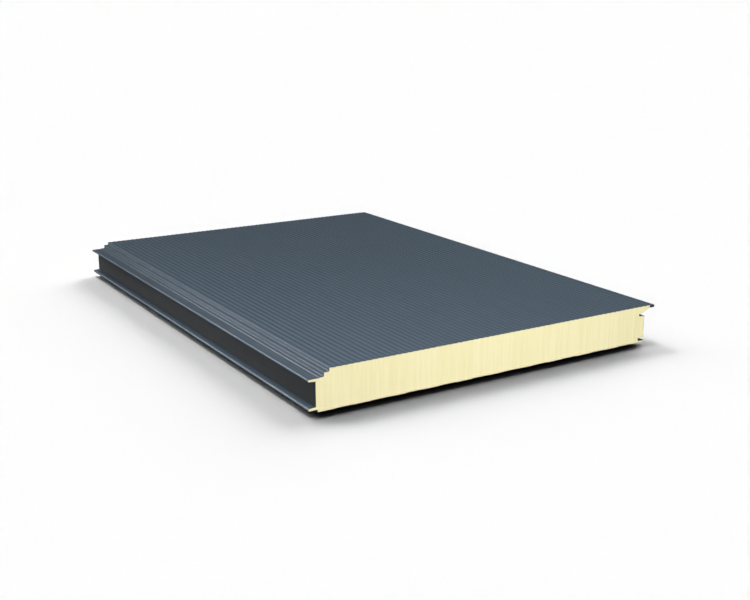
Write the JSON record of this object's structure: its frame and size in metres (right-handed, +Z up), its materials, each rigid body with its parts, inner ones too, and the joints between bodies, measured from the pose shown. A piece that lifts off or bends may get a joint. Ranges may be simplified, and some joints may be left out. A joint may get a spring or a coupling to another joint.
{
  "type": "insulated sandwich panel",
  "caption": "Insulated wall panel: a rigid foam core between two thin painted steel faces, the outer one micro-ribbed, with a hidden-fixing double tongue and groove joint along its long edges.",
  "frame": {"origin": "centre of the panel's length and overall width, at the underside of the inner face", "axes": "+X across the panel from the tongue edge to the groove edge, +Y along its length, +Z up from the inner face to the outer face"},
  "size_m": [1.0514, 1.5, 0.1],
  "materials": {
    "outer_face": "satin",
    "inner_face": "satin",
    "foam": "matte",
    "filler": "matte",
    "tape": "matte"
  },
  "bodies": {
    "root": {"outer_sheet": "outer_face", "inner_sheet": "inner_face", "foam_core": "foam", "hem_filler": "filler", "tongue_tape": "tape", "groove_tape": "tape"}
  },
  "joints": []
}
